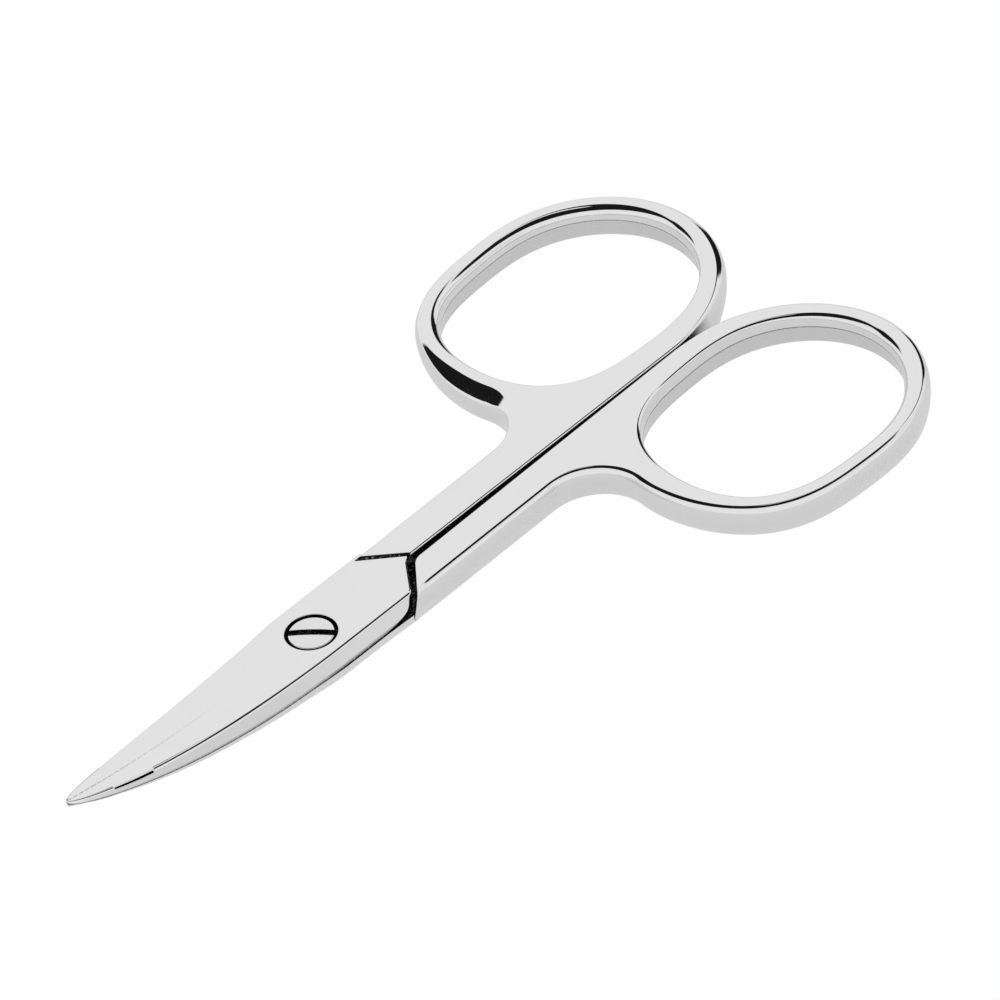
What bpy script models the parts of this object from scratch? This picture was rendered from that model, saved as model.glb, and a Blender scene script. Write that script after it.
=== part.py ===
"""Nail scissors, closed: two forged steel halves that turn on one slotted screw.

Metres, +Z up. The screw's axis is the world's Z axis. The blades point to -X and curve up, and
the finger rings lie at +X. The scissors lie flat on Z = 0. The upper half's ring is at +Y and its
blade crosses the screw to the -Y side when the scissors open. The lower half is the same forging
turned over about the X axis, with its blade curved up as well, so that the two faces mate.
"""

import math

import bmesh
import bpy
from mathutils import Vector

# The forged bar that the rings and shanks keep at full thickness
STOCK_THICKNESS = 0.0033
WALL_RIDGE = 0.0003
RIDGE_HEIGHT = 0.0021
EDGE_RADIUS = 0.00022
EDGE_STEPS = 2

# Finger ring: mean radius of the hole's wall, how far its forms add to that, and its place
HOLE_MEAN_RADIUS = 0.01115
HOLE_OVAL = 0.0011
HOLE_EGG = 0.0001
HOLE_SQUARE = 0.0002
HOLE_NOSE = 0.0001
HOLE_EDGE_RADIUS = 0.0004
RING_WIDTH = 0.00245
RING_OUTER_THINNING = 0.0002
RING_CENTRE_X = 0.0458
LOWER_RING_SHORTFALL = 0.0002
RING_STEPS = 72

# Shank, from the joint to the ring
SHANK_HALF_WIDTH_AT_JOINT = 0.00395
SHANK_HALF_WIDTH_AT_NECK = 0.00425
SHANK_TAPER_END_X = 0.0279
SHANK_INNER_RELIEF = 0.00015
INNER_WALL_SHARE = 0.3
INNER_WALL_END_DEGREES = 50
NECK_RADIUS = 0.0047
NECK_STEPS = 10
CLOSED_GAP = 0.00026

# Joint: places where its slanted lines would cross the scissors' middle line, and its corners
STEP_APEX_X = 0.0124
STEP_LEAN_DEGREES = 47
SHOULDER_APEX_X = 0.0134
PLATE_APEX_X = 0.0123
PLATE_REAR_LEAN_DEGREES = 42
PLATE_STEP = 0.0002
SHANK_CORNER_RADIUS = 0.00065
SHANK_HEEL_RADIUS = 0.0005
CORNER_STEPS = 4
PLATE_CORNER_REACH = 0.0009
PLATE_CORNER_DROP = 0.0013
PLATE_ROOT_OVERLAP = 0.0016
PLATE_ROOT_SPREAD_SHARE = 2.0
PLATE_ROOT_CORNER_DROP = 0.0026
PLATE_STRAIGHT_X = 0.0060

# Blade
BLADE_LENGTH = 0.0297
BLADE_HALF_WIDTH = 0.00435
TIP_HALF_WIDTH = 0.00015
LOWER_EDGE_SETBACK = 0.00035
SETBACK_RUN_IN = 0.012
SETBACK_LIMIT_SHARE = 0.33
TAPER_START_POWER = 1.5
TAPER_TIP_POWER = 0.6
RUNNING_GAP = 0.00025
CONTACT_FLAT_RADIUS = 0.0055
CONTACT_BEND_RADIUS = 0.088
BACK_FLAT_RADIUS = 0.0070
BACK_BEND_RADIUS = 0.118
TIP_THICKNESS = 0.0003
SPINE_SLANT_DEGREES = 32
CUTTING_SLANT_DEGREES = 20
BEVEL_SLANT_DEGREES = 38
BEVEL_HEIGHT = 0.00035
BEVEL_LIMIT_SHARE = 0.5
BEVEL_START_X = -0.0016
BEVEL_RUN_IN = 0.003
BLADE_EDGE_RADIUS = 0.0001
EDGE_LIMIT_SHARE = 0.25
BLADE_STEPS = 26
ROW_SPACING_POWER = 1.5
ACROSS_STEPS = 6

# Joint screw, its seat in the upper half and its hole in the lower half
HEAD_DIAMETER = 0.00435
HEAD_HEIGHT = 0.0006
HEAD_DOME = 0.00012
HEAD_EDGE_RADIUS = 0.00008
HEAD_RISE = 0.00003
SEAT_DEPTH = 0.0008
SEAT_CLEARANCE = 0.00015
NECK_DIAMETER = 0.0026
NECK_CLEARANCE = 0.00025
SLOT_WIDTH = 0.0006
SLOT_DEPTH = 0.00035
SLOT_ANGLE_DEGREES = -53
TAIL_CHAMFER = 0.0001
TURNED_STEPS = 48
DOME_STEPS = 4

# Cutters run this far past what they cut, and corners closer than this are one
OVERRUN = 0.001
MERGE_DISTANCE = 0.000002
BISECT_STEPS = 50

STEEL_COLOUR = (0.82, 0.82, 0.82, 1.0)
STEEL_ROUGHNESS = 0.08
SCREW_COLOUR = (0.78, 0.78, 0.78, 1.0)
SCREW_ROUGHNESS = 0.12
SMOOTH_ANGLE_DEGREES = 28

MIDDLE = STOCK_THICKNESS / 2
PLATE_TOP = STOCK_THICKNESS - PLATE_STEP


def clear_scene():
    for obj in list(bpy.data.objects):
        bpy.data.objects.remove(obj)


def steel(name, colour, roughness):
    material = bpy.data.materials.new(name)
    material.use_nodes = True
    shader = material.node_tree.nodes["Principled BSDF"]
    shader.inputs["Base Color"].default_value = colour
    shader.inputs["Roughness"].default_value = roughness
    shader.inputs["Metallic"].default_value = 1.0
    return material


def object_from(bm, name, material=None):
    """An object made from bm, smooth on its round stretches. Without a material it is a helper."""
    bmesh.ops.recalc_face_normals(bm, faces=bm.faces[:])
    mesh = bpy.data.meshes.new(name)
    bm.to_mesh(mesh)
    bm.free()
    mesh.shade_smooth()
    mesh.set_sharp_from_angle(angle=math.radians(SMOOTH_ANGLE_DEGREES))
    obj = bpy.data.objects.new(name, mesh)
    bpy.context.scene.collection.objects.link(obj)
    if material:
        mesh.materials.append(material)
    else:
        obj.hide_render = True
        obj.display_type = "WIRE"
    return obj


def combine(obj, other, operation):
    modifier = obj.modifiers.new(operation.title() + " " + other.name, "BOOLEAN")
    modifier.operation = operation
    modifier.object = other


def bisect(function, low, high):
    """The place between low and high where function changes sign."""
    low_is_negative = function(low) < 0
    for _ in range(BISECT_STEPS):
        middle = (low + high) / 2
        if (function(middle) < 0) == low_is_negative:
            low = middle
        else:
            high = middle
    return (low + high) / 2


def hole_radius(angle):
    """Radius of the finger hole's wall: a circle with its oval, egg, square and nose forms."""
    return (
        HOLE_MEAN_RADIUS
        + HOLE_OVAL * math.cos(2 * angle)
        + HOLE_EGG * math.cos(3 * angle)
        - HOLE_SQUARE * math.cos(4 * angle)
        + HOLE_NOSE * math.cos(5 * angle)
    )


def hole_slope(angle):
    """How fast hole_radius changes with the angle."""
    return (
        -2 * HOLE_OVAL * math.sin(2 * angle)
        - 3 * HOLE_EGG * math.sin(3 * angle)
        + 4 * HOLE_SQUARE * math.sin(4 * angle)
        - 5 * HOLE_NOSE * math.sin(5 * angle)
    )


def ring_width(angle):
    """Width of the ring's bar, a little thinner on the side away from the other ring."""
    return RING_WIDTH - RING_OUTER_THINNING * (1 + math.sin(angle)) / 2


def ring_normal(angle):
    out = Vector((math.cos(angle), math.sin(angle)))
    round_the_ring = Vector((-math.sin(angle), math.cos(angle)))
    return (hole_radius(angle) * out - hole_slope(angle) * round_the_ring).normalized()


def ring_place(angle, offset):
    """A plan point this far outside the hole's wall, about the ring's own centre."""
    out = Vector((math.cos(angle), math.sin(angle)))
    return hole_radius(angle) * out + offset * ring_normal(angle)


def ring_centre(side):
    """The rings nearly meet at the middle line when the scissors are closed."""
    inner_side = math.radians(270)
    lowest = ring_place(inner_side, ring_width(inner_side)).y
    shortfall = 0.0 if side > 0 else LOWER_RING_SHORTFALL
    return Vector((RING_CENTRE_X - shortfall, CLOSED_GAP / 2 - lowest))


def arc(centre, start, end, steps):
    """Points round centre from start to end, the short way."""
    first = math.atan2(start.y - centre.y, start.x - centre.x)
    last = math.atan2(end.y - centre.y, end.x - centre.x)
    turn = (last - first + math.pi) % math.tau - math.pi
    radius = (start - centre).length
    angles = [first + turn * step / steps for step in range(steps + 1)]
    return [centre + radius * Vector((math.cos(a), math.sin(a))) for a in angles]


def rounded_corner(before, corner, after, radius, steps):
    """The arc of this radius that joins the lines before-corner and corner-after."""
    back = (before - corner).normalized()
    ahead = (after - corner).normalized()
    half = back.angle(ahead) / 2
    reach = radius / math.tan(half)
    centre = corner + (back + ahead).normalized() * radius / math.sin(half)
    return arc(centre, corner + reach * back, corner + reach * ahead, steps)


def step_x(y):
    """The slanted line where the shank steps down to the plate."""
    return STEP_APEX_X - y * math.tan(math.radians(STEP_LEAN_DEGREES))


def handle_outline(side):
    """Plan outline of the shank and ring at the walls' ridge, on the +Y side.

    Beside each point stands the share of the wall's slope and edge rounding that it takes.
    """
    centre = ring_centre(side)
    joint_side = Vector((step_x(SHANK_HALF_WIDTH_AT_JOINT), SHANK_HALF_WIDTH_AT_JOINT))
    neck_side = Vector((SHANK_TAPER_END_X, SHANK_HALF_WIDTH_AT_NECK))
    along = (neck_side - joint_side).normalized()
    outward = Vector((-along.y, along.x))

    def outer(angle):
        return centre + ring_place(angle, ring_width(angle))

    def neck_miss(angle):
        fillet_centre = outer(angle) + NECK_RADIUS * ring_normal(angle)
        return (fillet_centre - joint_side).dot(outward) - NECK_RADIUS

    heel_y = CLOSED_GAP / 2 + SHANK_INNER_RELIEF
    heel = Vector((step_x(heel_y), heel_y))

    def inner_miss(angle):
        return (outer(angle) - heel).dot(ring_normal(angle))

    def inner_share(angle):
        """The faces that meet when the scissors close are nearly upright, with finer edges."""
        past = (angle - inner_angle) / math.radians(INNER_WALL_END_DEGREES)
        blend = (1 - math.cos(math.pi * min(1.0, past))) / 2
        return INNER_WALL_SHARE + (1 - INNER_WALL_SHARE) * blend

    neck_angle = bisect(neck_miss, math.radians(180), math.radians(230))
    inner_angle = bisect(inner_miss, math.radians(255), math.radians(285)) - math.tau
    fillet_centre = outer(neck_angle) + NECK_RADIUS * ring_normal(neck_angle)
    neck = arc(fillet_centre, fillet_centre - NECK_RADIUS * outward, outer(neck_angle), NECK_STEPS)
    turn = inner_angle - neck_angle
    ring = [outer(neck_angle + turn * step / RING_STEPS) for step in range(1, RING_STEPS + 1)]
    front = rounded_corner(heel, joint_side, neck[0], SHANK_CORNER_RADIUS, CORNER_STEPS)
    back = rounded_corner(ring[-1], heel, joint_side, SHANK_HEEL_RADIUS, CORNER_STEPS)
    shares = [INNER_WALL_SHARE] * len(back) + [1.0] * (len(front) + len(neck))
    shares += [inner_share(neck_angle + turn * step / RING_STEPS) for step in range(1, RING_STEPS + 1)]
    return back + front + neck + ring, shares


def inset(points, shares, distance):
    """The closed outline's points, each moved into the material by its share of this distance."""
    moved = []
    for index, point in enumerate(points):
        before = (point - points[index - 1]).normalized()
        after = (points[(index + 1) % len(points)] - point).normalized()
        normal = (Vector((before.y, -before.x)) + Vector((after.y, -after.x))).normalized()
        reach = distance * shares[index] / normal.dot(Vector((before.y, -before.x)))
        moved.append(point + normal * reach)
    return moved


def wall_levels(edge_radius, side):
    """(height, inset) of a wall from the underside up: rounded edges and a ridge between them."""
    ridge_height = RIDGE_HEIGHT if side > 0 else STOCK_THICKNESS - RIDGE_HEIGHT
    half = []
    for step in range(EDGE_STEPS + 1):
        turn = math.radians(90) * step / EDGE_STEPS
        height = edge_radius * (1 - math.cos(turn))
        half.append((height, WALL_RIDGE + edge_radius * (1 - math.sin(turn))))
    other_half = [(STOCK_THICKNESS - height, inwards) for height, inwards in reversed(half)]
    return half + [(ridge_height, 0)] + other_half


def add_loop(bm, points, height):
    return [bm.verts.new((point.x, point.y, height)) for point in points]


def bridge(bm, first, second):
    """Quads between two closed loops of as many corners."""
    for index in range(len(first)):
        ahead = (index + 1) % len(first)
        bm.faces.new((first[index], first[ahead], second[ahead], second[index]))


def loop_edges(bm, loop):
    return [bm.edges.get((loop[index - 1], loop[index])) for index in range(len(loop))]


def handle(side):
    """Shank and ring at full thickness. side is 1 for the upper half and -1 for the lower one."""
    bm = bmesh.new()
    outline, shares = handle_outline(side)
    centre = ring_centre(side)
    outer_loops = []
    for height, inwards in wall_levels(EDGE_RADIUS, side):
        outer_loops.append(add_loop(bm, inset(outline, shares, inwards), height))
    angles = [math.tau * step / RING_STEPS for step in range(RING_STEPS)]
    hole_loops = []
    for height, inwards in wall_levels(HOLE_EDGE_RADIUS, side):
        hole_loops.append(add_loop(bm, [centre + ring_place(angle, inwards) for angle in angles], height))
    for loops in (outer_loops, hole_loops):
        for lower, upper in zip(loops, loops[1:]):
            bridge(bm, lower, upper)
    for level in (0, -1):
        edges = loop_edges(bm, outer_loops[level]) + loop_edges(bm, hole_loops[level])
        bmesh.ops.triangle_fill(bm, edges=edges, use_beauty=True)
    turn_over(bm, side)
    return bm


def turn_over(bm, side):
    """Turns the mesh over about the X axis at mid height, for the lower half."""
    if side < 0:
        for vert in bm.verts:
            vert.co = (vert.co.x, -vert.co.y, STOCK_THICKNESS - vert.co.z)


def rise(x, y, flat_radius, bend_radius):
    """How far a face has curved up at this place, by its distance from the screw's axis."""
    if x > 0:
        return 0.0
    return max(0.0, math.hypot(x, y) - flat_radius) ** 2 / (2 * bend_radius)


def contact_height(x, y):
    """Height of the surface that the two halves turn on. It is round about the screw's axis."""
    return MIDDLE + rise(x, y, CONTACT_FLAT_RADIUS, CONTACT_BEND_RADIUS)


def back_thickness(x, y):
    """Thickness of one half here, from the contact surface to its outer face."""
    outer_face = PLATE_TOP + rise(x, y, BACK_FLAT_RADIUS, BACK_BEND_RADIUS)
    return max(TIP_THICKNESS, outer_face - contact_height(x, y))


def blade_half_width(x):
    """Half width at the contact surface: straight at the joint, then a leaf that closes to the tip."""
    share = min(1.0, max(0.0, -x) / BLADE_LENGTH)
    leaf = (1 - share**TAPER_START_POWER) ** TAPER_TIP_POWER
    return TIP_HALF_WIDTH + (BLADE_HALF_WIDTH - TIP_HALF_WIDTH) * leaf


def bevel_share(x):
    """How much of the sharpened bevel there is: none at the joint, all of it on the blade."""
    return min(1.0, max(0.0, (BEVEL_START_X - x) / BEVEL_RUN_IN))


def blade_section(x, side):
    """Corners (y, share of the thickness) of a half's section, from the contact face outwards."""
    half = blade_half_width(x)
    setback = 0.0
    if side < 0:
        run_in = min(1.0, max(0.0, -x) / SETBACK_RUN_IN)
        setback = min(LOWER_EDGE_SETBACK * run_in, half * SETBACK_LIMIT_SHARE)
    thickness = back_thickness(x, 0.0)
    cutting_lean = math.tan(math.radians(CUTTING_SLANT_DEGREES))
    bevel_lean = math.tan(math.radians(BEVEL_SLANT_DEGREES))
    spine_lean = math.tan(math.radians(SPINE_SLANT_DEGREES))
    bevel_height = min(BEVEL_HEIGHT, thickness * BEVEL_LIMIT_SHARE)
    lean = cutting_lean + (bevel_lean - cutting_lean) * bevel_share(x)
    bevel_y = half - setback - bevel_height * lean
    back_cutting_y = bevel_y - (thickness - bevel_height) * cutting_lean
    back_spine_y = -half + thickness * spine_lean
    middle_y = (back_cutting_y + back_spine_y) / 2
    back_cutting_y = max(back_cutting_y, middle_y + TIP_HALF_WIDTH / 2)
    back_spine_y = min(back_spine_y, middle_y - TIP_HALF_WIDTH / 2)
    edge = min(BLADE_EDGE_RADIUS, (back_cutting_y - back_spine_y) * EDGE_LIMIT_SHARE)
    drop = edge / thickness
    section = []
    for step in range(ACROSS_STEPS + 1):
        section.append((-half + (2 * half - setback) * step / ACROSS_STEPS, 0.0))
    section.append((bevel_y, bevel_height / thickness))
    section.append((back_cutting_y + edge * cutting_lean, 1 - drop))
    for step in range(ACROSS_STEPS + 1):
        share = step / ACROSS_STEPS
        start, end = back_cutting_y - edge, back_spine_y + edge
        section.append((start + (end - start) * share, 1.0))
    section.append((back_spine_y - edge * spine_lean, 1 - drop))
    return section


def plate_rear_x(y):
    """Where the plate ends behind the screw: free on the -Y side, inside its own shank on the other."""
    apex_y = CLOSED_GAP / 2 + SHANK_INNER_RELIEF
    corner_start = BLADE_HALF_WIDTH - PLATE_CORNER_REACH
    into_corner = max(0.0, abs(y) - corner_start) / PLATE_CORNER_REACH
    if y <= apex_y:
        lean = math.tan(math.radians(PLATE_REAR_LEAN_DEGREES))
        return PLATE_APEX_X - lean * (apex_y - y) - PLATE_CORNER_DROP * into_corner**2
    inside_shank = min(PLATE_ROOT_OVERLAP, PLATE_ROOT_SPREAD_SHARE * (y - apex_y))
    behind_step = PLATE_APEX_X - step_x(0.0) + step_x(y - apex_y) + inside_shank
    return behind_step - PLATE_ROOT_CORNER_DROP * into_corner**2


def blade_rows():
    """Places along the blade from the tip to the screw, closer together towards the tip."""
    rows = []
    for step in range(BLADE_STEPS + 1):
        share = math.sin(math.radians(90) * step / BLADE_STEPS)
        rows.append(-BLADE_LENGTH * (1 - share) ** ROW_SPACING_POWER)
    return rows


def blade(side):
    """Blade and plate of one half, lofted through sections from the tip to the joint's rear edge."""
    bm = bmesh.new()
    loops = []
    for x in blade_rows():
        loops.append([(x, y, share) for y, share in blade_section(x, side)])
    straight = blade_section(0.0, side)
    loops.append([(PLATE_STRAIGHT_X, y, share) for y, share in straight])
    loops.append([(plate_rear_x(y), y, share) for y, share in straight])
    rings = []
    for loop in loops:
        ring = []
        for x, y, share in loop:
            thickness = back_thickness(x, y)
            height = RUNNING_GAP / 2 + (thickness - RUNNING_GAP / 2) * share
            ring.append(bm.verts.new((x, side * y, contact_height(x, y) + side * height)))
        rings.append(ring)
    for first, second in zip(rings, rings[1:]):
        bridge(bm, first, second)
    bm.faces.new(rings[0])
    bmesh.ops.triangle_fill(bm, edges=loop_edges(bm, rings[-1]), use_beauty=True)
    return bm


def shoulder_cutter(side):
    """Takes the shank away on the other half's side of the contact surface, back to the shoulder."""
    reach = SHANK_HALF_WIDTH_AT_NECK + OVERRUN
    plan = [
        Vector((SHOULDER_APEX_X + OVERRUN, -OVERRUN)),
        Vector((SHOULDER_APEX_X - reach, reach)),
        Vector((-OVERRUN, reach)),
        Vector((-OVERRUN, -OVERRUN)),
    ]
    top = MIDDLE + (PLATE_TOP - MIDDLE) / 2
    bm = bmesh.new()
    lower = add_loop(bm, plan, -OVERRUN)
    upper = add_loop(bm, plan, top)
    bridge(bm, lower, upper)
    bm.faces.new(lower)
    bm.faces.new(upper)
    turn_over(bm, side)
    return bm


def turned(profile):
    """A solid turned about the Z axis from (radius, height) corners that start and end on the axis."""
    bm = bmesh.new()
    verts = [bm.verts.new((radius, 0.0, height)) for radius, height in profile]
    edges = [bm.edges.new(pair) for pair in zip(verts, verts[1:])]
    bmesh.ops.spin(
        bm,
        geom=verts + edges,
        cent=(0.0, 0.0, 0.0),
        axis=(0.0, 0.0, 1.0),
        angle=math.tau,
        steps=TURNED_STEPS,
        use_merge=True,
    )
    bmesh.ops.remove_doubles(bm, verts=bm.verts[:], dist=MERGE_DISTANCE)
    return bm


def screw_seat():
    """Cuts the head's seat and the neck's clearance hole in the upper half."""
    seat_radius = HEAD_DIAMETER / 2 + SEAT_CLEARANCE
    hole_radius_here = NECK_DIAMETER / 2 + NECK_CLEARANCE
    floor = PLATE_TOP - SEAT_DEPTH
    return turned(
        [
            (0.0, PLATE_TOP + OVERRUN),
            (seat_radius, PLATE_TOP + OVERRUN),
            (seat_radius, floor),
            (hole_radius_here, floor),
            (hole_radius_here, -OVERRUN),
            (0.0, -OVERRUN),
        ]
    )


def screw_hole():
    """Cuts the neck's hole through the lower half."""
    radius = NECK_DIAMETER / 2 + NECK_CLEARANCE
    return turned(
        [
            (0.0, STOCK_THICKNESS + OVERRUN),
            (radius, STOCK_THICKNESS + OVERRUN),
            (radius, -OVERRUN),
            (0.0, -OVERRUN),
        ]
    )


def screw_body():
    """Domed head, neck and chamfered tail, turned about the axis. The tail ends at Z = 0."""
    radius = HEAD_DIAMETER / 2
    rim_top = PLATE_TOP + HEAD_RISE
    head_bottom = rim_top - HEAD_HEIGHT
    dome_radius = radius - HEAD_EDGE_RADIUS
    profile = []
    for step in range(DOME_STEPS + 1):
        share = step / DOME_STEPS
        profile.append((dome_radius * share, rim_top + HEAD_DOME * (1 - share**2)))
    profile += [
        (radius, rim_top - HEAD_EDGE_RADIUS),
        (radius, head_bottom),
        (NECK_DIAMETER / 2, head_bottom),
        (NECK_DIAMETER / 2, TAIL_CHAMFER),
        (NECK_DIAMETER / 2 - TAIL_CHAMFER, 0.0),
        (0.0, 0.0),
    ]
    return turned(profile)


def slot_cutter():
    bm = bmesh.new()
    bmesh.ops.create_cube(bm, size=1.0)
    top = PLATE_TOP + HEAD_RISE + HEAD_DOME + OVERRUN
    floor = PLATE_TOP + HEAD_RISE + HEAD_DOME - SLOT_DEPTH
    size = Vector((HEAD_DIAMETER + OVERRUN, SLOT_WIDTH, top - floor))
    bmesh.ops.scale(bm, vec=size, verts=bm.verts[:])
    bmesh.ops.translate(bm, vec=(0.0, 0.0, (top + floor) / 2), verts=bm.verts[:])
    return bm


def build_half(name, side, material, hole):
    half = object_from(handle(side), name, material)
    cutter = object_from(shoulder_cutter(side), name + "_shoulder_cutter")
    blade_form = object_from(blade(side), name + "_blade_form")
    hole_cutter = object_from(hole, name + "_hole_cutter")
    combine(half, cutter, "DIFFERENCE")
    combine(half, blade_form, "UNION")
    combine(half, hole_cutter, "DIFFERENCE")
    return half


def build_screw():
    screw = object_from(screw_body(), "joint_screw", steel("screw_steel", SCREW_COLOUR, SCREW_ROUGHNESS))
    slot = object_from(slot_cutter(), "slot_cutter")
    slot.rotation_euler.z = math.radians(SLOT_ANGLE_DEGREES)
    combine(screw, slot, "DIFFERENCE")


def main():
    clear_scene()
    build_half("upper_half", 1, steel("upper_half_steel", STEEL_COLOUR, STEEL_ROUGHNESS), screw_seat())
    build_half("lower_half", -1, steel("lower_half_steel", STEEL_COLOUR, STEEL_ROUGHNESS), screw_hole())
    build_screw()


main()
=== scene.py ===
"""Nail scissors in polished steel, closed, on a plain pale floor.

Metres, +Z up. The screw's axis is the Z axis, the tips are at -X and the finger rings at +X.
Each half is two pieces, the handle (ring and shank) and the blade with its plate, and the screw
is one. Every piece is a grid: columns run clockwise round an outline, seen from above, and rows
run out over the top, down the outside, in under the bottom and up the hole.
"""

import math

import bpy
import numpy as np
from mathutils import Matrix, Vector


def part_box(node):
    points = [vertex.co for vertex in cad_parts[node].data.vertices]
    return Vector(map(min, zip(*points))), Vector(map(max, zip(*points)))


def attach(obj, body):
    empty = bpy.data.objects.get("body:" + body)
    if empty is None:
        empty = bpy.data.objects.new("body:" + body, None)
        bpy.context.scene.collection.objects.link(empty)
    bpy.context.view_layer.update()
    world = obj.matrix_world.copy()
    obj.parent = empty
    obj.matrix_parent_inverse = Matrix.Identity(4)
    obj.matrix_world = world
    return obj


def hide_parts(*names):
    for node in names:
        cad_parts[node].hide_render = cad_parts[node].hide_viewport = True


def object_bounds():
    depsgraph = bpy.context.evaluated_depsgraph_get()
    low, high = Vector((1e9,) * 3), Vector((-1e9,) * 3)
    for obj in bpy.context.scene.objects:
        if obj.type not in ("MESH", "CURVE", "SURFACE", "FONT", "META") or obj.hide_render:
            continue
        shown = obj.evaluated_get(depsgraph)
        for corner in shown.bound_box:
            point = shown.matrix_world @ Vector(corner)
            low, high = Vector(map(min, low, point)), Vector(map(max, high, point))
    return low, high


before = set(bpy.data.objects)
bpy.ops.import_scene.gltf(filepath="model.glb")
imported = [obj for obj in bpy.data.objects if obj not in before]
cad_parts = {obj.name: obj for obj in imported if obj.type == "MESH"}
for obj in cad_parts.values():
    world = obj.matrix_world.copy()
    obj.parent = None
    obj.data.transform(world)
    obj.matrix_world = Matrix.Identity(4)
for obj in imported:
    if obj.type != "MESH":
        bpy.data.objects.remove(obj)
cad_low, cad_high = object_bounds()

MM = 0.001

# Bar of the rings and shanks: the walls bulge to a ridge and are rounded into the faces
STOCK = 3.3 * MM
RIDGE_HEIGHT = 2.1 * MM
WALL_BULGE = 0.3 * MM
HOLE_UPPER_BULGE = 0.1 * MM
HOLE_LOWER_BULGE = 0.3 * MM
INNER_BULGE = 0.05 * MM
RING_EDGE_RADIUS = 0.3 * MM
SHANK_EDGE_RADIUS = 0.25 * MM
INNER_EDGE_RADIUS = 0.18 * MM
INNER_FACET = 0.04 * MM
FRONT_EDGE_RADIUS = 0.05 * MM
HOLE_TOP_RADIUS = 0.55 * MM
HOLE_TOP_SIDE = 0.32 * MM
HOLE_TOP_NOSE = 0.25 * MM
HOLE_TOP_NOSE_ANGLE = math.radians(15)
HOLE_TOP_NOSE_POWER = 3
HOLE_BOTTOM_RADIUS = 0.4 * MM

# Share of painted shade in the holes, on rough steel: a dark line along the ridge, and a darker tone on the
# wall below it
SEAM_SHADE_DEPTH = 0.9
HOLE_SHADE_DEPTH = 0.12

# Shapes of the bulges: 1 is straight and 2 is rounded
OUTER_WALL_POWER = 2
HOLE_WALL_POWER = 1

# Polished facets part of the way round those edges: their lean, its turn across them, their widths
FACET_LEAN = math.radians(59)
FACET_SPREAD = math.radians(3)
SHANK_FACET = 0.12 * MM
RING_FACET = 0.1 * MM
HOLE_FACET = 0.06 * MM

# Broader facets at the ring's toe and on its cheek beside the neck, where the ring swells too.
# They take up part of the wall's bulge above the ridge.
FACET_BULGE_CUT = 0.15
TOE_FACET = 0.3 * MM
TOE_ANGLE = math.radians(-20)
TOE_RUN = math.radians(55)
CHEEK_BULK = 0.6 * MM
CHEEK_ANGLE = math.radians(196)
CHEEK_RUN_OUT = math.radians(50)
CHEEK_RUN_IN = math.radians(30)
CHEEK_FACET_FULLNESS = 1.5
CHEEK_NECK_SHARE = 0.5

# Finger ring
HOLE_MEAN_RADIUS = 11.15 * MM
HOLE_OVAL = 1.1 * MM
HOLE_EGG = 0.1 * MM
HOLE_SQUARE = 0.2 * MM
HOLE_NOSE = 0.1 * MM
RING_WIDTH = 2.45 * MM
RING_OUTER_THINNING = 0.2 * MM
INNER_WIDENING_POWER = 16

# Shank: y of its two sides at the ridge, where it starts at the joint and where it meets the ring.
# The two rings differ in their width where they meet and in the facet on the cheek.
UPPER_SHANK = {
    "heel_y": -0.12 * MM,
    "width_at_screw": 3.65 * MM,
    "width_at_neck": 3.93 * MM,
    "inner_widening": 0.27 * MM,
    "cheek_facet": 1.25 * MM,
}
LOWER_SHANK = {
    "heel_y": 0.70 * MM,
    "width_at_screw": 4.27 * MM,
    "width_at_neck": 4.01 * MM,
    "inner_widening": -0.08 * MM,
    "cheek_facet": 0.15 * MM,
}
FLARE_START = 11.0 * MM
FLARE_RUN = 2.6 * MM
NECK_RADIUS = 4.7 * MM

# Where to look for the places on the hole where the neck's arc and the inner line touch the ring
NECK_SEARCH = (math.radians(180), math.radians(235))
INNER_SEARCH = (math.radians(250), math.radians(290))

# Fronts of the shank from the face with the step to the face with the shoulder: their height,
# where they cross the middle line, their lean, their corners and the flare of the outer side
STEP_TOP = {
    "height": STOCK,
    "apex": 12.55 * MM,
    "lean": math.radians(42.5),
    "heel_reach": 0.2 * MM,
    "corner_reach": 0.15 * MM,
    "flare": 0.0 * MM,
}
STEP_FOOT = {
    "height": 3.1 * MM,
    "apex": 12.17 * MM,
    "lean": math.radians(44),
    "heel_reach": 0.2 * MM,
    "corner_reach": 0.15 * MM,
    "flare": 0.0 * MM,
}
SHOULDER_FOOT = {
    "height": 1.9 * MM,
    "apex": 13.0 * MM,
    "lean": math.radians(48),
    "heel_reach": 0.7 * MM,
    "corner_reach": 0.15 * MM,
    "flare": 0.35 * MM,
}
SHOULDER_TOP = {
    "height": 0.0 * MM,
    "apex": 12.95 * MM,
    "lean": math.radians(43.3),
    "heel_reach": 0.75 * MM,
    "corner_reach": 0.15 * MM,
    "flare": 0.4 * MM,
}
FRONTS = (STEP_TOP, STEP_FOOT, SHOULDER_FOOT, SHOULDER_TOP)

# Joint plate
PLATE_STEP = 0.2 * MM
PLATE_APEX = 12.0 * MM
PLATE_REAR_SLOPE = 0.1 * MM
PLATE_CORNER_X = 9.1 * MM
PLATE_CORNER_SLOPE = 1.5 * MM
PLATE_CORNER_SWEEP = 3.3 * MM
PLATE_CORNER_POWER = 8
PLATE_CORNER_REACH = 0.35 * MM
PLATE_ROOT = 1.3 * MM
PLATE_ROOT_WIDENING = 0.12 * MM
PLATE_ROOT_WIDENING_START = 4.0 * MM
PLATE_ROOT_WIDENING_RUN = 4.0 * MM
ROOT_TUCK = 0.5 * MM
ROOT_TUCK_START = 8.3 * MM
# Where the contact face starts to be painted near black as shade, towards the plate's rear
GROUND_SHADE_FROM = 6.5 * MM
GROUND_SHADE_RUN = 0.8 * MM

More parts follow.
